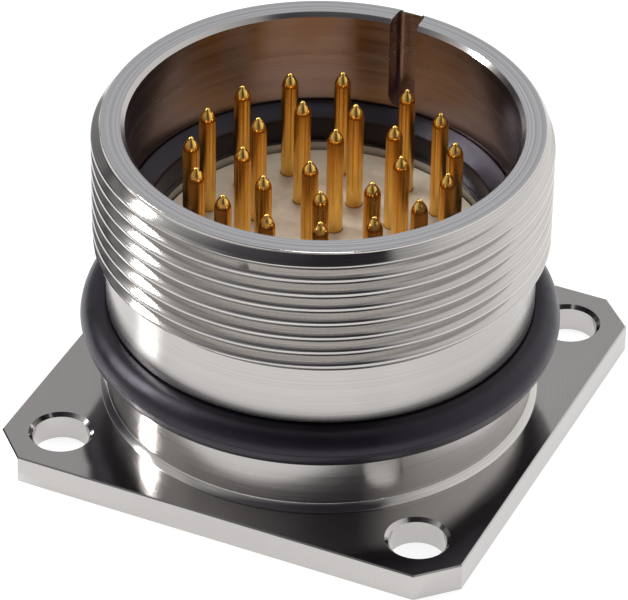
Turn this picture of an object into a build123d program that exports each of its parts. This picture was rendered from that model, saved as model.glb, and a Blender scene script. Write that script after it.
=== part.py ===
from build123d import *
from build123d import SkipClean
from math import ceil, cos, sin, tan, radians
import os

# Driving dimensions in mm. Z runs along the connector, z = 0 is the back face of the flange.

# how far a cutting body runs past the face it cuts
cut_overshoot = 1.0

# flange
flange_width = 29.6
flange_thickness = 1.75
flange_corner_cut = 2.1
flange_edge_break = 0.12
mounting_hole_edge_distance = 3.3
mounting_hole_radius = 1.7
mounting_hole_countersink = 0.22

# outside of the barrel
total_height = 20.2
boss_radius = 12.7
boss_foot_fillet = 0.38
groove_height = 5.55
neck_radius = 12.7
thread_radius = 13.5
thread_end_height = 12.1
thread_end_taper = 0.45
thread_relief_width = 0.3
thread_relief_depth = 0.08
rim_chamfer = 0.66

# thread, right-handed: one helical groove between crests, cut into the turned barrel
thread_pitch = 1.0
thread_depth = 0.545
thread_crest_width = 0.16
thread_flank_angle = 30.0
thread_entry_height = 0.545
thread_entry_angle = -66.0
thread_cutter_overshoot = 0.05
barrel_sectors = 3

# inside of the barrel
bore_radius = 11.5
mouth_chamfer = 0.24
shelf_height = 11.97
shelf_inner_radius = 9.95
shoulder_height = 8.2
rear_bore_radius = 10.6

# keyway for the mating plug, at +Y
keyway_width = 1.65
keyway_wall = 0.055
keyway_end_height = 14.25
keyway_floor_fillet = 0.3
keyway_end_radius = 0.55

# neck seal (O-ring)
neck_seal_section_radius = 1.2
neck_seal_squeeze = 0.03
neck_seal_groove_depth = 0.9
neck_seal_side_clearance = 0.06

# face seal in the cup
face_seal_width = 1.2
face_seal_outer_height = 2.2
face_seal_inner_height = 1.45

# insulators
insulator_front_height = 11.5
insulator_joint_height = 7.0
insulator_back_height = 2.3
insulator_clearance = 0.05
insulator_edge_break = 0.12
rib_width = 1.6
rib_projection = 0.4
rib_clearance = 0.06

# retaining ring
ring_thickness = 0.8
ring_width = 1.15
ring_groove_depth = 0.6
ring_clearance = 0.05
ring_gap_angle = 40.0
ring_lug_width = 2.0
ring_lug_reach = 0.95
ring_lug_hole_radius = 0.42

# contacts
contact_tip_height = 18.6
contact_radius = 0.5
contact_tip_radius = 0.17
contact_nose_length = 0.85
contact_nose_bulge = 0.06
collar_radius = 0.9
collar_length = 0.9
cup_outer_radius = 0.75
cup_bore_radius = 0.52
cup_end_height = 0.35
cup_bore_depth = 1.9
cup_drill_point = 0.26
cup_scoop_length = 1.45
cup_scoop_offset = 0.13
contact_hole_clearance = 0.03

# contact layout, symmetric about the keyway
outer_circle_radius = 7.7
outer_circle_count = 15
outer_circle_gap = 31.4
middle_circle_radius = 4.66
middle_circle_count = 9
middle_circle_gap = 45.6
inner_pair_offset = 1.8

key_angle = 90.0


def rz_face(points):
    """Closed face in the XZ plane from (radius, height) corners."""
    return make_face(Polyline(*[(r, 0, z) for r, z in points], close=True))


def turned(points):
    """Solid of revolution about Z from (radius, height) corners."""
    return revolve(rz_face(points), Axis.Z)


def tube(outer, inner, low, high):
    """Ring with rectangular section."""
    return turned([(inner, low), (outer, low), (outer, high), (inner, high)])


def circle_points(radius, count, gap, gap_angle):
    """Angles of contacts spread evenly round a circle, except for one wider gap."""
    step = (360.0 - gap) / (count - 1)
    first = gap_angle + gap / 2
    return [(radius, first + step * i) for i in range(count)]


def contact_places():
    """Radius and angle of each contact: outer circle, middle circle, inner pair."""
    places = circle_points(outer_circle_radius, outer_circle_count, outer_circle_gap, key_angle)
    places += circle_points(middle_circle_radius, middle_circle_count, middle_circle_gap, key_angle + 180)
    places += [(inner_pair_offset, key_angle), (inner_pair_offset, key_angle + 180)]
    return places


def at(place, height=0.0):
    """Location of a contact, its local X pointing away from the connector's axis."""
    radius, angle = place
    return Location((radius * cos(radians(angle)), radius * sin(radians(angle)), height), (0, 0, angle))


def thread_root_radius():
    return thread_radius - thread_depth


def groove_floor_radius():
    return neck_radius - neck_seal_groove_depth


def groove_top_height():
    return groove_height + 2 * neck_seal_section_radius + neck_seal_side_clearance


def ring_groove_radius():
    return rear_bore_radius + ring_groove_depth


def flange_plate():
    """Square plate with cut corners and broken front edges."""
    plate = extrude(Rectangle(flange_width, flange_width), flange_thickness)
    plate = chamfer(plate.edges().filter_by(Axis.Z), flange_corner_cut)
    return chamfer(plate.edges().group_by(Axis.Z)[-1], flange_edge_break)


def thread_turn(start):
    """One turn of the groove's cutter, its middle at the given height where the thread enters."""
    slope = tan(radians(thread_flank_angle))
    root = thread_root_radius()
    outer = thread_radius + thread_cutter_overshoot
    root_half = (thread_pitch - thread_crest_width) / 2 - thread_depth * slope
    outer_half = root_half + (outer - root) * slope
    section = rz_face([
        (root, start - root_half), (outer, start - outer_half),
        (outer, start + outer_half), (root, start + root_half),
    ])
    path = Helix(thread_pitch, thread_pitch, root, center=(0, 0, start))
    return Rot(0, 0, thread_entry_angle) * sweep(section, path=path, is_frenet=True)


def threaded(body):
    """The barrel with the groove cut turn by turn, from a turn below its first full one to past the rim."""
    first_crest = thread_end_height + thread_entry_height
    start = first_crest - thread_pitch / 2 - thread_pitch
    clear_height = total_height + thread_pitch / 2
    turn = thread_turn(start)
    for number in range(ceil((clear_height - start) / thread_pitch)):
        body -= Pos(0, 0, number * thread_pitch) * turn
    return body


def barrel():
    """Turned body with boss, seal groove, neck, thread blank outside, bore, shelf and rear bore.

    It is joined from equal sectors, whose seams stay: a strip of the thread's crest then ends at a seam,
    so it rises by only a share of the pitch, and there is metal all along the middle of its height.
    """
    foot_radius = boss_radius + boss_foot_fillet
    foot_height = flange_thickness + boss_foot_fillet
    middle = boss_foot_fillet * (1 - cos(radians(45)))
    relief_radius = neck_radius - thread_relief_depth
    outside = [
        (boss_radius, foot_height), (boss_radius, groove_height), (groove_floor_radius(), groove_height),
        (groove_floor_radius(), groove_top_height()), (neck_radius, groove_top_height()),
        (neck_radius, thread_end_height - thread_relief_width),
        (relief_radius, thread_end_height - thread_relief_width + thread_relief_depth),
        (relief_radius, thread_end_height), (thread_radius, thread_end_height + thread_end_taper),
        (thread_radius, total_height - rim_chamfer), (thread_radius - rim_chamfer, total_height),
    ]
    inside = [
        (bore_radius + mouth_chamfer, total_height), (bore_radius, total_height - mouth_chamfer),
        (bore_radius, shelf_height), (shelf_inner_radius, shelf_height),
        (shelf_inner_radius, shoulder_height), (rear_bore_radius, shoulder_height),
        (rear_bore_radius, 0), (foot_radius, 0), (foot_radius, flange_thickness),
    ]
    sides = Polyline(*[(r, 0, z) for r, z in outside + inside])
    foot = ThreePointArc(
        (foot_radius, 0, flange_thickness),
        (boss_radius + middle, 0, flange_thickness + middle),
        (boss_radius, 0, foot_height),
    )
    turn = 360 / barrel_sectors
    sector = revolve(make_face(sides + foot), Axis.Z, turn)
    body = sector
    for number in range(1, barrel_sectors):
        body += Rot(0, 0, number * turn) * sector
    return body


def keyway():
    """Slot in the bore wall at +Y, open at the rim, with a rounded lower end."""
    top = total_height + cut_overshoot
    middle = (keyway_end_height + top) / 2
    outline = Pos(0, middle) * Rectangle(keyway_width, top - keyway_end_height)
    lower = outline.vertices().group_by(Axis.Y)[0]
    outline = fillet(lower, keyway_end_radius)
    plane = Plane(origin=(0, shelf_inner_radius, 0), x_dir=(-1, 0, 0), z_dir=(0, 1, 0))
    slot = extrude(plane * outline, thread_root_radius() - keyway_wall - shelf_inner_radius)
    long_edges = slot.edges().group_by(Axis.Y)[-1].filter_by(Axis.Z)
    return fillet(long_edges, keyway_floor_fillet)


def mounting_hole():
    """Through hole with a small countersink at the front."""
    r, sink = mounting_hole_radius, mounting_hole_countersink
    top = flange_thickness + cut_overshoot
    return turned([
        (0, -cut_overshoot), (r, -cut_overshoot), (r, flange_thickness - sink),
        (r + sink + cut_overshoot, top), (0, top),
    ])


def rib(low, high, extra=0.0):
    """Anti-rotation rib of the insulators at +Y; with extra it is the slot for it."""
    reach = rear_bore_radius + rib_projection + extra
    block = Box(rib_width + 2 * extra, reach, high - low, align=(Align.CENTER, Align.MIN, Align.MIN))
    return Pos(0, 0, low) * block


def housing():
    """One-piece shell: flange and barrel, with keyway, ring groove, rib slot and holes."""
    body = flange_plate() - Cylinder(rear_bore_radius, 2 * (flange_thickness + cut_overshoot))
    body = body + threaded(barrel())
    body -= keyway()
    inside = rear_bore_radius - cut_overshoot
    ring_seat = insulator_back_height - ring_thickness
    body -= tube(ring_groove_radius(), inside, ring_seat, insulator_back_height + ring_clearance)
    body -= rib(-cut_overshoot, shoulder_height, rib_clearance) - Cylinder(inside, 2 * total_height)
    half = flange_width / 2 - mounting_hole_edge_distance
    for x in (-half, half):
        for y in (-half, half):
            body -= Pos(x, y) * mounting_hole()
    return body


def neck_seal():
    """O-ring, flattened a little where it is stretched on the groove floor and where it rests."""
    r = neck_seal_section_radius
    centre = (groove_floor_radius() + r, groove_height + r)
    plane = Plane.XZ
    section = plane * (Pos(*centre) * Circle(r + neck_seal_squeeze))
    width = 2 * (r + neck_seal_squeeze)
    seat = Rectangle(width, width, align=(Align.MIN, Align.MIN))
    return revolve(section & plane * (Pos(groove_floor_radius(), groove_height) * seat), Axis.Z)


def face_seal():
    """Flat sealing ring on the shelf, its top sloping down to the inside."""
    inner = bore_radius - face_seal_width
    return turned([
        (inner, shelf_height), (bore_radius, shelf_height),
        (bore_radius, shelf_height + face_seal_outer_height),
        (inner, shelf_height + face_seal_inner_height),
    ])


def front_insulator():
    """Floor of the cup: disc with a rear flange and rib, stepped holes for the contacts."""
    disc = shelf_inner_radius - insulator_clearance
    wide = rear_bore_radius - insulator_clearance
    low, high = insulator_joint_height, insulator_front_height
    body = turned([
        (0, low), (wide, low), (wide, shoulder_height), (disc, shoulder_height),
        (disc, high - insulator_edge_break), (disc - insulator_edge_break, high), (0, high),
    ])
    body += rib(low, shoulder_height)
    wall = contact_radius + contact_hole_clearance
    recess = collar_radius + contact_hole_clearance
    step = low + collar_length
    under, over = low - cut_overshoot, high + cut_overshoot
    hole = turned([(0, under), (recess, under), (recess, step), (wall, step), (wall, over), (0, over)])
    for place in contact_places():
        body -= at(place) * hole
    return body


def rear_insulator():
    """Disc behind the collars, with plain holes for the solder cups."""
    wide = rear_bore_radius - insulator_clearance
    low, high = insulator_back_height, insulator_joint_height
    body = turned([(0, low), (wide, low), (wide, high), (0, high)]) + rib(low, high)
    hole = tube(cup_outer_radius + contact_hole_clearance, 0, low - cut_overshoot, high + cut_overshoot)
    for place in contact_places():
        body -= at(place) * hole
    return body


def retaining_ring():
    """Internal snap ring with a gap and two lugs with plier holes, in its groove."""
    outer = ring_groove_radius() - ring_clearance
    inner = outer - ring_width
    low, high = insulator_back_height - ring_thickness, insulator_back_height
    middle = (low + high) / 2
    ring = tube(outer, inner, low, high)
    lug_radius = inner - ring_lug_reach
    for side in (-1, 1):
        angle = key_angle + 180 + side * (ring_gap_angle / 2)
        shift = side * ring_lug_width / 2
        lug = Pos(lug_radius, shift, low) * Box(
            outer - lug_radius - ring_clearance, ring_lug_width, ring_thickness,
            align=(Align.MIN, Align.CENTER, Align.MIN))
        lug -= Pos(lug_radius + ring_lug_width / 2, shift, middle) * Cylinder(
            ring_lug_hole_radius, 2 * ring_thickness)
        ring += Rot(0, 0, angle) * (lug & tube(outer, lug_radius / 2, low, high))
    gap = extrude(gap_sector(outer), ring_thickness + 2 * cut_overshoot)
    return ring - Pos(0, 0, low - cut_overshoot) * gap


def gap_sector(outer):
    """Wedge that opens the snap ring between its lugs."""
    half = radians(ring_gap_angle / 2)
    turn = radians(key_angle + 180)
    reach = 2 * outer
    return make_face(Polyline(
        (0, 0), (reach * cos(turn - half), reach * sin(turn - half)), (reach * cos(turn), reach * sin(turn)),
        (reach * cos(turn + half), reach * sin(turn + half)), close=True))


def contact():
    """Turned contact at the axis: bullet nose, shank, collar, barrel and scooped solder cup."""
    tip, nose_end = contact_tip_height, contact_tip_height - contact_nose_length
    tip_end = tip - contact_tip_radius
    back = insulator_joint_height
    mid_r = (contact_tip_radius + contact_radius) / 2 + contact_nose_bulge
    cap = contact_tip_radius * cos(radians(45))
    collar_front = back + collar_length
    bore_end = cup_end_height + cup_bore_depth
    lines = Polyline(*[(r, 0, z) for r, z in [
        (contact_radius, nose_end), (contact_radius, collar_front), (collar_radius, collar_front),
        (collar_radius, back), (cup_outer_radius, back), (cup_outer_radius, cup_end_height),
        (cup_bore_radius, cup_end_height), (cup_bore_radius, bore_end),
        (0, bore_end + cup_drill_point), (0, tip)]])
    nose = ThreePointArc((0, 0, tip), (cap, 0, tip_end + cap), (contact_tip_radius, 0, tip_end))
    side = ThreePointArc((contact_tip_radius, 0, tip_end), (mid_r, 0, (tip_end + nose_end) / 2),
                         (contact_radius, 0, nose_end))
    body = revolve(make_face(lines + nose + side), Axis.Z)
    scoop = Pos(cup_scoop_offset, 0, cup_end_height - cut_overshoot) * Box(
        2 * cup_outer_radius, 2 * (cup_outer_radius + cut_overshoot), cup_scoop_length + cut_overshoot,
        align=(Align.MIN, Align.CENTER, Align.MIN))
    return body - scoop


def save(name, shape):
    export_step(shape, os.path.join("parts", name + ".step"))


os.makedirs("parts", exist_ok=True)
with SkipClean():
    save("housing", housing())
save("neck_seal", neck_seal())
save("face_seal", face_seal())
save("front_insulator", front_insulator())
save("rear_insulator", rear_insulator())
save("retaining_ring", retaining_ring())
one_contact = contact()
for number, place in enumerate(contact_places(), 1):
    save("contact_pin_%02d" % number, at(place) * one_contact)
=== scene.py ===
import bmesh
import bpy
import numpy as np
from mathutils import Matrix, Vector
from mathutils.geometry import delaunay_2d_cdt


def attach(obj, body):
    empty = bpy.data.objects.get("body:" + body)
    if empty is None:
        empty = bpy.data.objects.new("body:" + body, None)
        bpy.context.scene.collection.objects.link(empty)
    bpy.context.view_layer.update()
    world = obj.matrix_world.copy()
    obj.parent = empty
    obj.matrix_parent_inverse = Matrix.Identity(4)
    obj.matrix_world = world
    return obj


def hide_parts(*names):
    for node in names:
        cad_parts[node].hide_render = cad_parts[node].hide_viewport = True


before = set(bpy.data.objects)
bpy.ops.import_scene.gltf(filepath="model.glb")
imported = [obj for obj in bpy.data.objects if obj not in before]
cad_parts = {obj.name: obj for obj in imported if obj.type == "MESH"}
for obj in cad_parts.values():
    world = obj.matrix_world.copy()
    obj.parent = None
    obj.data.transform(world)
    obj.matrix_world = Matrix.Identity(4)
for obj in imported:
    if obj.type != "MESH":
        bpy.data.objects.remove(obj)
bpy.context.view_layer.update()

# Housing: the connector's shell, flange and barrel in one piece, turned from brass bar on a lathe.
# The M27x1 thread is cut with a single point, the keyway and the four holes are milled and
# drilled, and the whole shell is then nickel-plated, which leaves the turning marks showing.

# Sizes of pieces are in millimetres, with radii from the connector's axis and heights from the flange's
# back, and those of materials and of the stage in metres. A size named ROW is the height of an extra row of
# points on a plain wall. The two named SLACK decide for triangles whose middle lies almost on a circle.
MM = 0.001
HALF_WIDTH, PLATE, CORNER_CUT, EDGE_BREAK = 14.8, 1.75, 2.1, 0.08
HOLE_AT, HOLE_RADIUS, COUNTERSINK, HOLE_SIDES = 11.5, 1.7, 0.22, 96
BOSS_RADIUS, BOSS_TOP, BOSS_EDGE, BOSS_ROWS = 12.7, 5.55, 0.1, (2.35, 3.8)
FOOT_SIZE, FOOT_LOW_ROUND, FOOT_HIGH_ROUND = 0.38, 0.09, 0.2
GROOVE_FLOOR, GROOVE_TOP = 11.8, 8.01
NECK_RADIUS, NECK_EDGE, NECK_ROW = 12.7, 0.08, 10.0
THREAD_RADIUS, THREAD_LOW, THREAD_TAPER, RELIEF_WIDTH, RELIEF_DEPTH = 13.5, 12.1, 0.45, 0.3, 0.08
PITCH, CREST_LOW, CREST_HIGH, CREST_WEAR, ROOT_ROUND = 1.0, 0.045, 0.085, 0.2, 0.16
LOW_CORNER_AT, LOW_CORNER_DEPTH = (-0.0087, 0.0023, 0.01), (0.015, 0.004, 0.0)
CREST_HEIGHT, CREST_ANGLE, FIRST_TURN, LAST_TURN = 12.645, np.radians(-66.0), -2, 7
TOP, RIM_CHAMFER, RIM_LAND, RIM_ROUND, RIM_INSET, MOUTH_CHAMFER = 20.2, 0.66, 0.11, 0.05, 0.01, 0.24
MARK_RADII, MARK_HALF, MARK_FLOOR_HALF, MARK_DEPTH = (12.62, 12.42, 12.2, 12.03, 11.84), 0.035, 0.012, 0.005
BORE_RADIUS, BORE_ROW, SHELF_HEIGHT, SHELF_RADIUS = 11.5, 13.2, 11.97, 9.95
SHOULDER, REAR_RADIUS = 8.2, 10.6
RING_GROOVE_RADIUS, RING_GROOVE_LOW, RING_GROOVE_HIGH = 11.2, 1.5, 2.35
KEY_HALF, KEY_FLOOR, KEY_LOW, KEY_ROW, KEY_FILLET, KEY_END_RADIUS = 0.825, 12.9, 14.25, 17.3, 0.3, 0.55
SLOT_HALF, SLOT_FLOOR, SLOT_FILLET = 0.86, 11.06, 0.02
FOOT_SLACK, HOLE_SLACK = 0.0001, 0.002


def quads(rows, columns):
    """The quads of a grid whose points are numbered row after row: one between each four neighbours."""
    start = (np.arange(rows - 1)[:, None] * columns + np.arange(columns - 1)).ravel()
    return np.stack([start, start + 1, start + columns + 1, start + columns], axis=1)


def swept_grid(radius, height, angle):
    """Points at (r cos a, r sin a, z) for rows of radius and height and columns of angle, with a quad
    between each four neighbours. Rows that go up the outside of a part give faces that look outwards."""
    radius, height, angle = np.broadcast_arrays(radius, height, angle)
    points = np.stack([radius * np.cos(angle), radius * np.sin(angle), height], axis=-1).reshape(-1, 3)
    return points, quads(*radius.shape)


def flat_sheet(rings, height, inside, upwards):
    """A flat face at one height between closed outlines: a net of triangles over all their points, of which
    only the triangles whose middle lies inside the shape are kept."""
    points = np.concatenate(rings)
    ends = np.cumsum([len(ring) for ring in rings])
    follow = np.arange(1, len(points) + 1)
    follow[ends - 1] = np.concatenate([[0], ends[:-1]])
    edges = np.stack([np.arange(len(points)), follow], axis=1).tolist()
    spots = [Vector(point) for point in points.tolist()]
    all_triangles, same_point = 0, 1e-7
    found = delaunay_2d_cdt(spots, edges, [], all_triangles, same_point, False)
    flat, net = np.array([tuple(p) for p in found[0]]), np.array(found[2])
    net = net[inside(*flat[net].mean(axis=1).T)]
    one_side, other_side = flat[net[:, 1]] - flat[net[:, 0]], flat[net[:, 2]] - flat[net[:, 0]]
    turn = one_side[:, 0] * other_side[:, 1] - one_side[:, 1] * other_side[:, 0]
    wrong = (turn > 0) != upwards
    net[wrong] = net[wrong][:, ::-1]
    return np.column_stack([flat, np.full(len(flat), height)]), net


def placed(name, data):
    """A new object of a mesh, a lamp or a camera, put into the scene."""
    thing = bpy.data.objects.new(name, data)
    bpy.context.scene.collection.objects.link(thing)
    return thing


def piece(name, parts, materials, sharp_degrees=28.0):
    """One object from several sets of points (in mm), faces and the number of their finish: put together,
    joined where they touch, and shaded smooth except across edges sharper than the given angle."""
    points, faces, finishes, count = [], [], [], 0
    for part_points, part_faces, number in parts:
        points.append(part_points)
        faces += (part_faces + count).tolist()
        finishes.append(np.full(len(part_faces), number))
        count += len(part_points)
    mesh = bpy.data.meshes.new(name)
    mesh.from_pydata(np.concatenate(points) * MM, [], faces)
    for material in materials:
        mesh.materials.append(material)
    mesh.polygons.foreach_set("material_index", np.concatenate(finishes).astype(np.int32))
    work = bmesh.new()
    work.from_mesh(mesh)
    bmesh.ops.remove_doubles(work, verts=work.verts, dist=1e-6)
    bmesh.ops.dissolve_degenerate(work, edges=work.edges, dist=1e-7)
    work.to_mesh(mesh)
    work.free()
    mesh.shade_smooth()
    mesh.set_sharp_from_angle(angle=np.radians(sharp_degrees))
    return placed(name, mesh)


def arc(middle, radius, angles):
    """Points at the given angles on a circle about a middle point."""
    return np.array(middle) + radius * np.column_stack([np.cos(angles), np.sin(angles)])


def notch(angle, half, floor, fillet, start=9.0):
    """Distance from the axis to the wall of a slot at +Y, for each angle: the slot's outline, a straight
    wall that starts inside the bore, a rounded corner and a flat floor, is read off in polar form."""
    corner = arc((half - fillet, floor - fillet), fillet, np.radians(np.linspace(0, 90, 9)))
    x, y = np.vstack([(half, start), corner, (0.0, floor)]).T
    lean = np.arctan2(x, y)[::-1]
    return np.interp(np.abs(angle - np.pi / 2), lean, np.hypot(x, y)[::-1], right=0.0)


def key_bottom(x):
    """Height of the keyway's lower end at a distance x from its middle: flat, with a round at each side."""
    past = np.clip(np.abs(x) - (KEY_HALF - KEY_END_RADIUS), 0, KEY_END_RADIUS)
    return KEY_LOW + KEY_END_RADIUS - np.sqrt(KEY_END_RADIUS ** 2 - past ** 2)


# Columns stand every 1.25 degrees round the axis, and closer over the keyway and the slot below it.
columns = np.concatenate([np.linspace(-np.pi, np.pi, 289), np.pi / 2 + np.radians(np.linspace(-6, 6, 65))])
columns = np.unique(np.round(columns, 9))
ones = np.ones_like(columns)
key_wall = np.maximum(notch(columns, KEY_HALF, KEY_FLOOR, KEY_FILLET), BORE_RADIUS)
slot_wall = np.maximum(notch(columns, SLOT_HALF, SLOT_FLOOR, SLOT_FILLET), REAR_RADIUS)

# Outside, upwards from the plate: the boss's foot, a short cone at 45 degrees with a round at each end,
# then the boss, the seal's groove, the neck, and the relief under the thread.
low_bend, high_bend = np.radians(np.linspace(270, 225, 5)), np.radians(np.linspace(225, 180, 5))
low_reach, high_reach = (r * np.tan(np.pi / 8) for r in (FOOT_LOW_ROUND, FOOT_HIGH_ROUND))
foot_radius = BOSS_RADIUS + FOOT_SIZE + low_reach
foot_rows = np.vstack([
    arc((foot_radius, PLATE + FOOT_LOW_ROUND), FOOT_LOW_ROUND, low_bend),
    arc((BOSS_RADIUS + FOOT_HIGH_ROUND, PLATE + FOOT_SIZE + high_reach), FOOT_HIGH_ROUND, high_bend)])
relief_low, relief_radius = THREAD_LOW - RELIEF_WIDTH, NECK_RADIUS - RELIEF_DEPTH
outside_rows = np.vstack([
    foot_rows, [(BOSS_RADIUS, z) for z in (*BOSS_ROWS, BOSS_TOP - BOSS_EDGE)],
    [(BOSS_RADIUS - BOSS_EDGE, BOSS_TOP), (GROOVE_FLOOR, BOSS_TOP), (GROOVE_FLOOR, GROOVE_TOP)],
    [(NECK_RADIUS - NECK_EDGE, GROOVE_TOP), (NECK_RADIUS, GROOVE_TOP + NECK_EDGE), (NECK_RADIUS, NECK_ROW)],
    [(NECK_RADIUS, relief_low), (relief_radius, relief_low + RELIEF_DEPTH), (relief_radius, THREAD_LOW)]])

# One pitch of the thread upwards from a crest, as heights and depths below the crest. The crest's upper
# corner is worn to a wide round, two flanks stand at 60 degrees to each other, the root is an arc that
# touches both, and the lower corner of the next crest is broken a little.
wear, root_turn = np.radians(np.linspace(0, 60, 7)), np.radians(np.linspace(60, -60, 9))
flank_rise = 3 ** -0.5
low_corner = PITCH - CREST_LOW
groove_half = (low_corner - CREST_HIGH) / 2
root_depth = (groove_half - ROOT_ROUND * np.cos(np.radians(30))) / flank_rise + ROOT_ROUND / 2
form_at = np.concatenate([
    CREST_HIGH - CREST_WEAR * flank_rise + CREST_WEAR * np.sin(wear),
    CREST_HIGH + groove_half - ROOT_ROUND * np.sin(root_turn), low_corner + np.array(LOW_CORNER_AT)])
form_depth = np.concatenate([
    CREST_WEAR * (1 - np.cos(wear)), root_depth - ROOT_ROUND * (1 - np.cos(root_turn)), LOW_CORNER_DEPTH])

# The thread climbs by a pitch in each turn. Its rows are held between its lower end and the rim's land,
# and it is cut back where it runs out over the relief and where the rim's chamfer crosses it.
flat_rim = THREAD_RADIUS - RIM_CHAMFER
land_radius, land_low = flat_rim + RIM_LAND, TOP - RIM_LAND
climb = (np.arange(FIRST_TURN, LAST_TURN + 1)[:, None] + form_at).ravel()[:, None]
start = CREST_HEIGHT + PITCH * (columns - CREST_ANGLE) / (2 * np.pi)
thread_z = np.clip(start + PITCH * climb, THREAD_LOW, land_low)
form = THREAD_RADIUS - np.interp((thread_z - start) / PITCH, form_at, form_depth, period=1.0)
run_out = relief_radius + (thread_z - THREAD_LOW) * (THREAD_RADIUS - relief_radius) / THREAD_TAPER
chamfer = flat_rim + (TOP - thread_z)
thread_r = np.minimum(np.minimum(form, run_out), chamfer)

# The rim, inwards: a narrow land, its round, the flat top with five fine rings left by the facing tool,
# and the mouth. Where the keyway comes out through the round, the rim is only as high as the land's foot.
through_rim = key_wall > land_radius - RIM_ROUND
face_z = np.where(through_rim, land_low, TOP)
edge = np.radians(np.linspace(0, 90, 5))
edge_rows = zip(land_radius - RIM_ROUND * (1 - np.cos(edge)), TOP - RIM_ROUND * (1 - np.sin(edge)))
ring_form = (
    (MARK_HALF, 0.0), (MARK_FLOOR_HALF, MARK_DEPTH), (-MARK_FLOOR_HALF, MARK_DEPTH), (-MARK_HALF, 0.0))
rim_marks = [(radius + out, TOP - down) for radius in MARK_RADII for out, down in ring_form]
rim_rows = [
    *((np.where(through_rim, key_wall, r), np.where(through_rim, land_low, z)) for r, z in edge_rows),
    *((np.maximum(r, key_wall), np.where(key_wall > r, face_z, z))
      for r, z in [(land_radius - RIM_ROUND - RIM_INSET, TOP), *rim_marks]),
    (np.maximum(key_wall, BORE_RADIUS + MOUTH_CHAMFER), face_z)]

# The bore's wall, downwards: the keyway's wall stands back from it as far down as the keyway's lower end,
# which is a ledge. Below it come the shelf, the rear half with its slot, and the snap ring's groove.
ledge_r = BORE_RADIUS + (key_wall - BORE_RADIUS) * np.linspace(1, 0, 6)[:, None]
ledge_z = key_bottom(ledge_r * np.cos(columns))
wall_rows = [
    (key_wall, TOP - MOUTH_CHAMFER), (key_wall, KEY_ROW), *zip(ledge_r, ledge_z),
    (BORE_RADIUS, BORE_ROW), (BORE_RADIUS, SHELF_HEIGHT)]
rear_rows = [
    (SHELF_RADIUS, SHELF_HEIGHT), (SHELF_RADIUS, SHOULDER), (REAR_RADIUS, SHOULDER), (slot_wall, SHOULDER),
    (slot_wall, RING_GROOVE_HIGH), (RING_GROOVE_RADIUS, RING_GROOVE_HIGH),
    (RING_GROOVE_RADIUS, RING_GROOVE_LOW), (slot_wall, RING_GROOVE_LOW), (slot_wall, 0.0)]
inner_r, inner_z = ([row[k] * ones for row in (*rim_rows, *wall_rows, *rear_rows)] for k in (0, 1))
barrel_r = np.concatenate([outside_rows[:, :1] * ones, thread_r, inner_r])
barrel_z = np.concatenate([outside_rows[:, 1:] * ones, thread_z, inner_z])
barrel, barrel_faces = swept_grid(barrel_r, barrel_z, columns)

TURNED, MILLED, FACED, CUT, BORE = range(5)
face_row = np.repeat(np.arange(len(barrel_r) - 1), len(columns) - 1)
thread_row = len(outside_rows)
edge_row = thread_row + len(thread_r)
rim_row, mouth_row = edge_row + len(edge) - 1, edge_row + len(rim_rows) - 1
on_rim = (face_row >= rim_row) & (face_row < mouth_row)
on_cut = (face_row < len(foot_rows)) | ((face_row >= thread_row) & (face_row < rim_row))
on_bore = (face_row > mouth_row) & (face_row < mouth_row + len(wall_rows))
finish = np.select([on_rim, on_cut, on_bore], [FACED, CUT, BORE], TURNED)

# The flange's four screw holes, and the radius at which their countersinks meet the top face.
hole_centres = [(x, y) for x in (-HOLE_AT, HOLE_AT) for y in (-HOLE_AT, HOLE_AT)]
hole_top = HOLE_RADIUS + COUNTERSINK


def octagon(half, cut):
    """Corners of a square with its corners cut off, anticlockwise."""
    x = np.array([half, half, half - cut, cut - half, -half, -half, cut - half, half - cut])
    return np.column_stack([x, np.roll(x, 2)])


def circle(radius, centre):
    """Points evenly round a screw hole."""
    return arc(centre, radius, np.linspace(0, 2 * np.pi, HOLE_SIDES, endpoint=False))


def clear_of_holes(x, y, radius):
    """True where a point lies outside all four screw holes."""
    return np.all([np.hypot(x - a, y - b) > radius for a, b in hole_centres], axis=0)


def on_top(x, y):
    """True where a point lies on the plate's top face."""
    return (np.hypot(x, y) > foot_radius - FOOT_SLACK) & clear_of_holes(x, y, hole_top - HOLE_SLACK)


def on_back(x, y):
    """True where a point lies on the plate's back face, round the bore and its slot."""
    in_bore = np.hypot(x, y) <= REAR_RADIUS + HOLE_SLACK
    in_slot = (np.abs(x) < SLOT_HALF) & (y > 0) & (y < SLOT_FLOOR)
    return clear_of_holes(x, y, HOLE_RADIUS - HOLE_SLACK) & ~in_bore & ~in_slot


# The flange: a top and a back face round the barrel and the holes, eight sides with their upper edge
# broken, and the holes' walls with a small countersink.
around = np.column_stack([np.cos(columns[:-1]), np.sin(columns[:-1])])
broken = octagon(HALF_WIDTH - EDGE_BREAK, CORNER_CUT - (2 - 2 ** 0.5) * EDGE_BREAK)
outline = octagon(HALF_WIDTH, CORNER_CUT)
top_rings = [broken, foot_radius * around] + [circle(hole_top, c) for c in hole_centres]
back_rings = [outline, slot_wall[:-1, None] * around] + [circle(HOLE_RADIUS, c) for c in hole_centres]
top_face = flat_sheet(top_rings, PLATE, on_top, upwards=True)
back_face = flat_sheet(back_rings, 0.0, on_back, upwards=False)
loops = [np.column_stack([np.vstack([ring, ring[:1]]), np.full(len(ring) + 1, z)])
         for ring, z in ((outline, 0.0), (outline, PLATE - EDGE_BREAK), (broken, PLATE))]
sides = (np.concatenate(loops), quads(len(loops), len(loops[0])))
hole_wall, hole_faces = swept_grid(
    [[hole_top], [HOLE_RADIUS], [HOLE_RADIUS]], [[PLATE], [PLATE - COUNTERSINK], [0.0]],
    np.linspace(0, 2 * np.pi, HOLE_SIDES + 1))
holes = [(hole_wall + (x, y, 0.0), hole_faces) for x, y in hole_centres]


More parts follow.
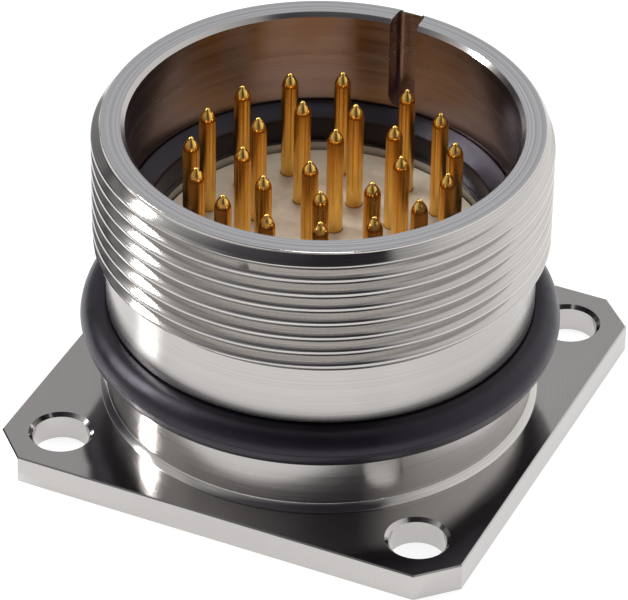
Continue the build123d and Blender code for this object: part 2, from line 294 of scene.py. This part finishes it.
def new_material(name, **sockets):
    """A material with its Principled shader's sockets set, and the shader to link the rest to."""
    material = bpy.data.materials.new(name)
    material.use_nodes = True
    shader = material.node_tree.nodes["Principled BSDF"]
    for socket, value in sockets.items():
        shader.inputs[socket.replace("_", " ")].default_value = value
    return material, material.node_tree.nodes, material.node_tree.links, shader


def own_place(nodes):
    """A piece's own coordinates, in metres."""
    return nodes.new("ShaderNodeTexCoord").outputs["Object"]


def around_axis(nodes, links, place):
    """Coordinates that follow a turned part: distance from the Z axis, height, and nothing round the axis,
    so that a pattern on them runs round the part as a tool's mark does."""
    split = nodes.new("ShaderNodeSeparateXYZ")
    links.new(place, split.inputs[0])
    flat = nodes.new("ShaderNodeCombineXYZ")
    links.new(split.outputs["X"], flat.inputs["X"])
    links.new(split.outputs["Y"], flat.inputs["Y"])
    away = nodes.new("ShaderNodeVectorMath")
    away.operation = "LENGTH"
    links.new(flat.outputs[0], away.inputs[0])
    both = nodes.new("ShaderNodeCombineXYZ")
    links.new(away.outputs["Value"], both.inputs["X"])
    links.new(split.outputs["Z"], both.inputs["Y"])
    return both.outputs[0]


def noise(nodes, links, where, scale, detail, rough=0.5):
    """A noise pattern over the given coordinates."""
    node = nodes.new("ShaderNodeTexNoise")
    node.inputs["Scale"].default_value = scale
    node.inputs["Detail"].default_value = detail
    node.inputs["Roughness"].default_value = rough
    links.new(where, node.inputs["Vector"])
    return node.outputs["Fac"]


def spread(nodes, links, value, low, high, out_low, out_high):
    """A value mapped from one range to another, held at the ends."""
    node = nodes.new("ShaderNodeMapRange")
    for socket, number in zip(("From Min", "From Max", "To Min", "To Max"), (low, high, out_low, out_high)):
        node.inputs[socket].default_value = number
    links.new(value, node.inputs["Value"])
    return node.outputs["Result"]


def tones(nodes, links, value, low, high, dark, light):
    """A colour that goes from dark to light as a value goes from low to high."""
    ramp = nodes.new("ShaderNodeValToRGB")
    for element, position, colour in zip(ramp.color_ramp.elements, (low, high), (dark, light)):
        element.position, element.color = position, (*colour, 1)
    links.new(value, ramp.inputs[0])
    return ramp.outputs[0]


def bump(nodes, links, shader, layers):
    """Relief from several patterns, each with its own height in metres, one on top of the other."""
    under = None
    for value, height in layers:
        node = nodes.new("ShaderNodeBump")
        node.inputs["Strength"].default_value = 1.0
        node.inputs["Distance"].default_value = height
        links.new(value, node.inputs["Height"])
        if under:
            links.new(under, node.inputs["Normal"])
        under = node.outputs["Normal"]
    links.new(under, shader.inputs["Normal"])


def plated(name, roughness, relief, chatter, lines, dark, light, **sockets):
    """Nickel plate over cut brass. The tool's marks run round the part: coarse ones in relief and gloss,
    fine ones in relief and tone. An even grain lies over them, and on top the tool's chatter, as specks that
    are ten times as long round the part as they are high."""
    material, nodes, links, shader = new_material(
        name, Metallic=1.0, Base_Color=(0.54, 0.515, 0.495, 1), **sockets)
    place = own_place(nodes)
    turned = around_axis(nodes, links, place)
    fine = noise(nodes, links, turned, scale=lines, detail=2)
    coarse = noise(nodes, links, turned, scale=2200, detail=3)
    stretch = nodes.new("ShaderNodeMapping")
    stretch.inputs["Scale"].default_value = (0.1, 0.1, 1.0)
    links.new(place, stretch.inputs["Vector"])
    specks = noise(nodes, links, stretch.outputs[0], scale=6000, detail=3, rough=0.6)
    grain = noise(nodes, links, place, scale=2600, detail=3)
    links.new(spread(nodes, links, coarse, 0.3, 0.7, *roughness), shader.inputs["Roughness"])
    links.new(tones(nodes, links, fine, 0.32, 0.62, dark, light), shader.inputs["Base Color"])
    bump(nodes, links, shader, [
        (coarse, 1.6e-6 * relief), (fine, 0.5e-6 * relief), (grain, 0.4e-6 * relief), (specks, chatter)])
    return material


# The boss, groove, neck and rear are turned fine, the flange is milled to a high gloss, and the rim is
# faced.
# The thread and the boss's foot carry the tool's chatter. The rim's bright, bluish tone and the bore's
# purple-brown tint are painted reflections.
turned_nickel = plated(
    "nickel_turned", roughness=(0.17, 0.23), relief=0.4, chatter=0.1e-6, lines=9000,
    dark=(0.470, 0.449, 0.438), light=(0.505, 0.482, 0.463), Anisotropic=0.85, Anisotropic_Rotation=0.25)
milled_nickel = plated(
    "nickel_milled", roughness=(0.10, 0.13), relief=0.1, chatter=0.1e-6, lines=9000,
    dark=(0.505, 0.486, 0.478), light=(0.520, 0.500, 0.490))
# The faced rings are real tool marks. The rim's high, bluish tone is a painted reflection of the studio's
# light.
faced_nickel_painted_reflection = plated(
    "nickel_faced_painted_reflection", roughness=(0.18, 0.26), relief=1.2, chatter=0.2e-6, lines=5000,
    dark=(0.49, 0.49, 0.51), light=(0.76, 0.76, 0.79))
cut_nickel = plated(
    "nickel_cut", roughness=(0.09, 0.15), relief=0.8, chatter=3.0e-6, lines=9000,
    dark=(0.490, 0.470, 0.460), light=(0.590, 0.563, 0.536), Anisotropic=0.4, Anisotropic_Rotation=0.25)
# Painted reflection: the bore's purple-brown tone stands in for the gold pins and beige insulator mirrored
# in its wall.
bore_nickel_painted_reflection = plated(
    "nickel_bore_painted_reflection", roughness=(0.20, 0.28), relief=0.5, chatter=0.4e-6, lines=9000,
    dark=(0.400, 0.315, 0.325), light=(0.440, 0.350, 0.355))

housing = piece(
    "housing_shell", [(barrel, barrel_faces[finish == kind], kind) for kind in (TURNED, FACED, CUT, BORE)]
    + [(*part, MILLED) for part in (top_face, back_face, sides, *holes)],
    [turned_nickel, milled_nickel, faced_nickel_painted_reflection, cut_nickel, bore_nickel_painted_reflection])
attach(housing, "root")
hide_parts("housing")

# Neck seal: a black rubber O-ring, pressed in a mould of two halves and stretched over the thread into
# the groove above the flange's boss. It stands proud of the neck and lies on the boss's top face.
SEAL_RADIUS, SEAL_SQUEEZE, SEAL_CENTRE_R, SEAL_CENTRE_Z, SEAL_CLEAR = 1.2, 0.03, 13.0, 6.75, 0.002
FLASH_HEIGHT, FLASH_WIDTH = 0.02, 0.022

ring_angle = np.linspace(0, 2 * np.pi, 385)

# The section is a circle, drawn with extra points beside the two mould lines, where the flash stands up as
# a fine bell-shaped ridge. It is held just clear of the groove's floor and the boss's top.
beside_line = np.array([0.015, 0.03, 0.045, 0.07])
section = np.unique(np.concatenate([
    np.linspace(0, 2 * np.pi, 65), beside_line, np.pi - beside_line, np.pi + beside_line,
    2 * np.pi - beside_line]))[:, None]
flash = FLASH_HEIGHT * np.exp(-(np.sin(section) / FLASH_WIDTH) ** 2)
seal_r = SEAL_CENTRE_R + (SEAL_RADIUS + SEAL_SQUEEZE + flash) * np.cos(section)
seal_z = SEAL_CENTRE_Z + (SEAL_RADIUS + SEAL_SQUEEZE) * np.sin(section)
seal_r = np.maximum(seal_r, GROOVE_FLOOR + SEAL_CLEAR)
seal_z = np.maximum(seal_z, BOSS_TOP + SEAL_CLEAR)

rubber, nodes, links, shader = new_material(
    "black_rubber", Base_Color=(0.005, 0.004, 0.007, 1), Roughness=0.36, Specular_IOR_Level=0.45,
    Specular_Tint=(0.92, 0.84, 1.0, 1))
place = own_place(nodes)
dull = noise(nodes, links, place, scale=500, detail=4)
grain = noise(nodes, links, place, scale=3500, detail=3)
waves = noise(nodes, links, place, scale=450, detail=3)
links.new(spread(nodes, links, dull, 0.3, 0.7, 0.30, 0.42), shader.inputs["Roughness"])
bump(nodes, links, shader, [(grain, 2.0e-6), (waves, 40e-6)])

neck_ring = piece("o_ring", [(*swept_grid(seal_r, seal_z, ring_angle), 0)], [rubber], sharp_degrees=60)
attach(neck_ring, "root")
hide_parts("neck_seal")

# Face seal: a flat black rubber ring that lies on the shelf inside the cup, against the bore's
# wall. Its top slopes down to the inside, and its edges are rounded by the mould.
FACE_OUTER, FACE_INNER, FACE_LOW, FACE_OUTER_TOP, FACE_INNER_TOP = 11.49, 10.3, 11.97, 14.17, 13.42
FACE_LOW_ROUND, FACE_OUTER_ROUND, FACE_INNER_ROUND = 0.05, 0.12, 0.22


def rounded_profile(corners, radii, steps=7):
    """A closed outline with each corner replaced by an arc of its radius: the arc's points lie on a circle
    that touches both sides."""
    rows = []
    count = len(corners)
    for i, (corner, radius) in enumerate(zip(np.array(corners, float), radii)):
        back, ahead = np.array(corners[i - 1]) - corner, np.array(corners[(i + 1) % count]) - corner
        back, ahead = back / np.hypot(*back), ahead / np.hypot(*ahead)
        half = np.arccos(np.clip(back @ ahead, -1, 1)) / 2
        middle = corner + (back + ahead) / np.hypot(*(back + ahead)) * radius / np.sin(half)
        first, last = corner + back * radius / np.tan(half), corner + ahead * radius / np.tan(half)
        a, b = (np.arctan2(*(p - middle)[::-1]) for p in (first, last))
        sweep = (b - a + np.pi) % (2 * np.pi) - np.pi
        rows.append(arc(middle, radius, a + sweep * np.linspace(0, 1, steps)))
    rows = np.concatenate(rows)
    return np.vstack([rows, rows[:1]])


face_corners = [
    (FACE_OUTER, FACE_LOW), (FACE_OUTER, FACE_OUTER_TOP),
    (FACE_INNER, FACE_INNER_TOP), (FACE_INNER, FACE_LOW)]
face_rounds = [FACE_LOW_ROUND, FACE_OUTER_ROUND, FACE_INNER_ROUND, FACE_LOW_ROUND]
face_rows = rounded_profile(face_corners, face_rounds)
face_grid = swept_grid(face_rows[:, :1], face_rows[:, 1:], ring_angle)
face_ring = piece("cup_seal", [(*face_grid, 0)], [rubber], sharp_degrees=50)
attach(face_ring, "root")
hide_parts("face_seal")

# Contacts: 26 pins turned from brass rod and gold-plated, pushed into the insulator from behind
# until their collars seat. Each has a bullet nose in front and a scooped solder cup behind.
TIP, TIP_RADIUS, PIN_RADIUS, PIN_ROW, NOSE_LENGTH, NOSE_BULGE = 18.6, 0.17, 0.5, 14.0, 0.85, 0.06
COLLAR_LOW, COLLAR_LENGTH, COLLAR_RADIUS = 7.0, 0.9, 0.9
CUP_RADIUS, CUP_BORE, CUP_END, CUP_DEPTH, DRILL_POINT = 0.75, 0.52, 0.35, 1.9, 0.26
SCOOP_LENGTH, SCOOP_OFFSET, SCOOP_SLACK = 1.45, 0.13, 0.000001
OUTER_COUNT, OUTER_RADIUS, OUTER_GAP = 15, 7.7, 31.4
MIDDLE_COUNT, MIDDLE_RADIUS, MIDDLE_GAP = 9, 4.66, 45.6
INNER_RADIUS = 1.8
GLOSS_LOW, GLOSS_HIGH = 0.0176, 0.0179

# The plating is dull up the pin and glossy on the nose, with fine turning marks one above the other.
gold, nodes, links, shader = new_material(
    "gold_plate", Metallic=1.0, Base_Color=(0.92, 0.56, 0.14, 1), Roughness=0.22)
split = nodes.new("ShaderNodeSeparateXYZ")
links.new(own_place(nodes), split.inputs[0])
line = nodes.new("ShaderNodeCombineXYZ")
links.new(split.outputs["Z"], line.inputs["Z"])
marks = noise(nodes, links, line.outputs[0], scale=9000, detail=2)
dull = spread(nodes, links, split.outputs["Z"], GLOSS_LOW, GLOSS_HIGH, 0.25, 0.13)
links.new(dull, shader.inputs["Roughness"])
bump(nodes, links, shader, [(marks, 0.06e-6)])


def spread_angles(count, gap, middle):
    """Angles of contacts evenly round a circle, apart from one wider gap about the given angle."""
    return middle + gap / 2 + (360 - gap) / (count - 1) * np.arange(count)


pin_radius = np.concatenate([
    np.full(OUTER_COUNT, OUTER_RADIUS), np.full(MIDDLE_COUNT, MIDDLE_RADIUS), [INNER_RADIUS, INNER_RADIUS]])
pin_angle = np.radians(np.concatenate([
    spread_angles(OUTER_COUNT, OUTER_GAP, 90), spread_angles(MIDDLE_COUNT, MIDDLE_GAP, 270), [90, 270]]))

# A pin from its tip down, turned over at the end so that its rows go upwards: a round tip, a nose that
# widens in a straight line with a bulge on it, the shaft, the collar, the outside of the solder cup, its
# bore and the drill's point.
nose = np.linspace(0, 1, 9)[:, None]
tip_rows = arc((0.0, TIP - TIP_RADIUS), TIP_RADIUS, np.radians(np.linspace(90, 12, 7)))
nose_rows = np.hstack([
    TIP_RADIUS + (PIN_RADIUS - TIP_RADIUS) * nose + 4 * NOSE_BULGE * nose * (1 - nose),
    TIP - TIP_RADIUS - (NOSE_LENGTH - TIP_RADIUS) * nose])[1:]
collar_top, scoop_top, bore_top = COLLAR_LOW + COLLAR_LENGTH, CUP_END + SCOOP_LENGTH, CUP_END + CUP_DEPTH
pin_rows = np.vstack([
    tip_rows, nose_rows, [(PIN_RADIUS, PIN_ROW), (PIN_RADIUS, collar_top)],
    [(COLLAR_RADIUS, collar_top), (COLLAR_RADIUS, COLLAR_LOW), (CUP_RADIUS, COLLAR_LOW)],
    [(CUP_RADIUS, scoop_top), (CUP_RADIUS, CUP_END), (CUP_BORE, CUP_END), (CUP_BORE, scoop_top)],
    [(CUP_BORE, bore_top), (0, bore_top + DRILL_POINT)]])[::-1]
pin_points, pin_faces = swept_grid(pin_rows[:, :1], pin_rows[:, 1:], np.linspace(-np.pi, np.pi, 49))

# The scoop: the cup's points on the outer side are drawn back to a flat, below the scoop's top row.
scooped = (pin_points[:, 2] < scoop_top - SCOOP_SLACK) & (pin_points[:, 0] > SCOOP_OFFSET)
pin_points[scooped, 0] = SCOOP_OFFSET
x, y, z = pin_points.T
for number, (r, a) in enumerate(zip(pin_radius, pin_angle), 1):
    c, s = np.cos(a), np.sin(a)
    spot = np.column_stack([r * c + x * c - y * s, r * s + x * s + y * c, z])
    pin = piece("gold_pin_%02d" % number, [(spot, pin_faces, 0)], [gold], sharp_degrees=40)
    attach(pin, "root")
    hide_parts("contact_pin_%02d" % number)

# Insulators: two discs moulded from a beige-grey glass-filled thermoset, with a hole for each
# contact. The front one is the floor of the cup, and the rear one closes the collars in.
beige, nodes, links, shader = new_material(
    "moulded_insulator", Base_Color=(0.58, 0.50, 0.40, 1), Roughness=0.6, Specular_IOR_Level=0.4)
place = own_place(nodes)
mottle = noise(nodes, links, place, scale=900, detail=4, rough=0.6)
colour = tones(nodes, links, mottle, 0.3, 0.7, (0.52, 0.45, 0.36), (0.66, 0.58, 0.47))
links.new(colour, shader.inputs["Base Color"])
bump(nodes, links, shader, [(noise(nodes, links, place, scale=5000, detail=2), 2e-6)])
for name in ("front_insulator", "rear_insulator"):
    for face_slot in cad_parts[name].material_slots:
        face_slot.material = beige

# Retaining ring: an internal snap ring stamped from spring steel and blackened, which holds the
# insulators and contacts in the shell from behind.
steel, nodes, links, shader = new_material(
    "spring_steel", Metallic=1.0, Base_Color=(0.16, 0.16, 0.17, 1), Roughness=0.35)
place = own_place(nodes)
dull = noise(nodes, links, place, scale=1500, detail=3)
links.new(spread(nodes, links, dull, 0.3, 0.7, 0.28, 0.45), shader.inputs["Roughness"])
bump(nodes, links, shader, [(noise(nodes, links, place, scale=4000, detail=2), 1e-6)])
for face_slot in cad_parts["retaining_ring"].material_slots:
    face_slot.material = steel

# Table: a white glowing top just under the flange. On the left a slanted band of it glows brighter. This is
# painted light that the metal mirrors as a bright strip's glint. The band comes in from the side and ends by
# the flange's left corner.
AZIMUTH, ELEVATION, ROLL = np.radians([23.974, 36.241, 0.999])
TABLE_REACH, TABLE_DROP, TABLE_GLOW = 2, 0.00002, 0.86
STREAK_LEAN, STREAK_AT, STREAK_CORE, STREAK_EDGE, PAINTED_STREAK_GLOW = 0.27, 0.0101, 0.0011, 0.0034, 2.4
STREAK_FULL, STREAK_END = -0.019, -0.016
towards = Vector((np.sin(AZIMUTH), -np.cos(AZIMUTH), 0.0))
across = Vector((np.cos(AZIMUTH), np.sin(AZIMUTH), 0.0))


def along(nodes, links, where, direction):
    """How far a place or the look of a ray lies along one direction."""
    node = nodes.new("ShaderNodeVectorMath")
    node.operation = "DOT_PRODUCT"
    node.inputs[1].default_value = direction
    links.new(where, node.inputs[0])
    return node.outputs["Value"]


def maths(nodes, links, kind, a, b=None):
    """One step of arithmetic."""
    node = nodes.new("ShaderNodeMath")
    node.operation = kind
    links.new(a, node.inputs[0])
    if b is not None:
        links.new(b, node.inputs[1])
    return node.outputs[0]


table_mesh = bpy.data.meshes.new("table")
table_corners = ((-1, -1), (1, -1), (1, 1), (-1, 1))
table_spots = [(x * TABLE_REACH, y * TABLE_REACH, -TABLE_DROP) for x, y in table_corners]
table_mesh.from_pydata(table_spots, [], [(0, 1, 2, 3)])
table = placed("table", table_mesh)
white, nodes, links, shader = new_material(
    "white_table", Base_Color=(0.3, 0.3, 0.3, 1), Roughness=0.9, Emission_Color=(1, 1, 1, 1),
    Emission_Strength=TABLE_GLOW)
place = own_place(nodes)
# Painted light: a narrow slanted band of the table glows brighter than the rest.
beside = along(nodes, links, place, (towards - across * STREAK_LEAN).normalized())
beside = spread(nodes, links, beside, STREAK_AT - 1, STREAK_AT + 1, -1, 1)
off_streak = maths(nodes, links, "ABSOLUTE", beside)
to_edge = spread(nodes, links, off_streak, STREAK_CORE, STREAK_EDGE, 1, 0)
to_end = spread(nodes, links, along(nodes, links, place, across), STREAK_FULL, STREAK_END, 1, 0)
painted_streak = maths(nodes, links, "MULTIPLY", to_edge, to_end)
links.new(spread(nodes, links, painted_streak, 0, 1, TABLE_GLOW, PAINTED_STREAK_GLOW), shader.inputs["Emission Strength"])
table_mesh.materials.append(white)

# World: the studio round the table as a soft wrap of light, in three bands one above the other. It is dark
# behind the camera, with a broad pale screen on the right and narrow bright and dark cards on the left.
WRAP_STRENGTH, ZENITH = 4.0, 0.3
LOW_BLEND, HIGH_BLEND, ZENITH_BLEND = np.radians([(20, 30), (40, 48), (66, 84)])
COOL_BELOW, LESS_GREEN, MORE_BLUE = 0.3, 0.08, 0.14

world = bpy.data.worlds.new("studio")
world.use_nodes = True
nodes, links = world.node_tree.nodes, world.node_tree.links
backdrop = nodes["Background"]
look = nodes.new("ShaderNodeTexCoord").outputs["Generated"]


def screen(nodes, links, bearing, stops):
    """Brightness round the horizon, from -180 to 180 degrees off the camera's side, positive to its right.
    The dimmer a stop is, the cooler is its light."""
    ramp = nodes.new("ShaderNodeValToRGB")
    line = ramp.color_ramp
    line.elements[0].position, line.elements[1].position = 0.0, 1.0
    for _ in range(len(stops) - 2):
        line.elements.new(0.5)
    for element, (degrees, value) in zip(line.elements, stops):
        element.position = (degrees + 180) / 360
        cool = max(0.0, 1 - value / COOL_BELOW)
        grey = value / WRAP_STRENGTH
        element.color = (grey, grey * (1 - LESS_GREEN * cool), grey * (1 + MORE_BLUE * cool), 1)
    links.new(bearing, ramp.inputs[0])
    return ramp.outputs[0]


def blend_by(nodes, links, value, ends, first, second):
    """Two colours mixed as a value goes from one end to the other."""
    node = nodes.new("ShaderNodeMix")
    node.data_type = "RGBA"
    links.new(spread(nodes, links, value, *ends, 0, 1), node.inputs["Factor"])
    for socket, colour in (("A", first), ("B", second)):
        entry = [i for i in node.inputs if i.name == socket and i.type == "RGBA"][0]
        if isinstance(colour, tuple):
            entry.default_value = colour
        else:
            links.new(colour, entry)
    return [o for o in node.outputs if o.type == "RGBA"][0]


round_horizon = maths(
    nodes, links, "ARCTAN2", along(nodes, links, look, across), along(nodes, links, look, towards))
bearing = spread(nodes, links, round_horizon, -np.pi, np.pi, 0, 1)
lift = maths(nodes, links, "ARCSINE", along(nodes, links, look, Vector((0, 0, 1))))
lower_band = screen(nodes, links, bearing, [
    (-180, 0.45), (-150, 0.3), (-135, 0.2), (-128, 0.06), (-114, 0.06), (-106, 0.2), (-99, 0.6),
    (-80, 0.6), (-66, 0.5), (-30, 0.35), (-5, 0.1), (22, 0.08), (38, 0.4), (70, 0.8), (100, 0.95),
    (140, 1.1), (165, 0.7), (180, 0.45)])
middle_band = screen(nodes, links, bearing, [
    (-180, 0.50), (-150, 0.50), (-144, 0.1), (-139, 0.35), (-134, 0.3), (-131, 0.06), (-127, 0.3),
    (-123, 0.12), (-114, 0.5), (-90, 0.6), (-84, 0.6), (-78, 0.6), (-70, 0.4), (-60, 0.45), (-40, 0.3),
    (-20, 0.2), (0, 0.08), (22, 0.05), (36, 0.35), (60, 0.8), (100, 1.0), (140, 1.15), (165, 0.6),
    (180, 0.5)])
upper_band = screen(nodes, links, bearing, [
    (-180, 0.45), (-110, 0.5), (-90, 0.35), (-64, 0.10), (0, 0.03), (38, 0.03), (45, 0.45), (90, 0.8),
    (125, 0.95), (180, 0.45)])
overhead = (ZENITH / WRAP_STRENGTH,) * 3 + (1,)
wrap = blend_by(nodes, links, lift, LOW_BLEND, lower_band, middle_band)
wrap = blend_by(nodes, links, lift, HIGH_BLEND, wrap, upper_band)
wrap = blend_by(nodes, links, lift, ZENITH_BLEND, wrap, overhead)
links.new(wrap, backdrop.inputs["Color"])
backdrop.inputs["Strength"].default_value = WRAP_STRENGTH
bpy.context.scene.world = world

# Lamps: a soft upright strip on the left, which glints down the left of the thread, the neck and
# the boss, and a small panel high up behind the connector.
LAMP_AIM = 0.010


def outwards(bearing_degrees, lift_degrees):
    """The direction at a bearing off the camera's side and a height above the table."""
    b, e = np.radians([bearing_degrees, lift_degrees])
    level = towards * float(np.cos(b)) + across * float(np.sin(b))
    return level * float(np.cos(e)) + Vector((0, 0, float(np.sin(e))))


def stood(place, right, up, back):
    """The matrix of a lamp or a camera at a place, looking away from its back."""
    return Matrix.Translation(place) @ Matrix((right, up, back)).transposed().to_4x4()


def strip_lamp(name, low, high, distance, width, power):
    """A rectangular lamp that looks at the connector, from a low direction to a high one."""
    bottom, top = outwards(*low), outwards(*high)
    out = (bottom + top).normalized()
    rise = (top - bottom - out * out.dot(top - bottom)).normalized()
    lamp = bpy.data.lights.new(name, "AREA")
    lamp.shape, lamp.energy = "RECTANGLE", power
    lamp.size, lamp.size_y = width, (top - bottom).length * distance
    thing = placed(name, lamp)
    thing.matrix_world = stood(Vector((0, 0, LAMP_AIM)) + out * distance, rise.cross(out), rise, out)


strip_lamp("left_strip", low=(-97, 26), high=(-122, 52), distance=0.5, width=0.055, power=1.5)
strip_lamp("top_panel", low=(180, 70), high=(180, 86), distance=0.5, width=0.09, power=0.7)

# Camera: a long lens well above the flange, a little to the right of the connector's front. It
# looks at the middle of the connector, with the picture shifted a little off the lens's axis.
PICTURE_WIDTH, PICTURE_HEIGHT, SENSOR, AIM_HEIGHT = 628, 600, 36.0, 0.008
DISTANCE, FOCAL_PIXELS, CENTRE_X, CENTRE_Y = 0.286819, 4838.4, 320.50, 292.29
flat_part = np.cos(ELEVATION)
back = Vector((np.sin(AZIMUTH) * flat_part, -np.cos(AZIMUTH) * flat_part, np.sin(ELEVATION)))
level_up = back.cross(across)
side = across * float(np.cos(ROLL)) + level_up * float(np.sin(ROLL))
up = level_up * float(np.cos(ROLL)) - across * float(np.sin(ROLL))
lens = bpy.data.cameras.new("camera")
lens.sensor_width, lens.lens = SENSOR, FOCAL_PIXELS * SENSOR / PICTURE_WIDTH
lens.shift_x = (PICTURE_WIDTH / 2 - CENTRE_X) / PICTURE_WIDTH
lens.shift_y = (CENTRE_Y - PICTURE_HEIGHT / 2) / PICTURE_WIDTH
lens.clip_start, lens.clip_end = 0.01, 10.0
camera = placed("camera", lens)
camera.matrix_world = stood(Vector((0, 0, AIM_HEIGHT)) + back * DISTANCE, side, up, back)
bpy.context.scene.camera = camera
bpy.context.scene.view_settings.view_transform = "Standard"
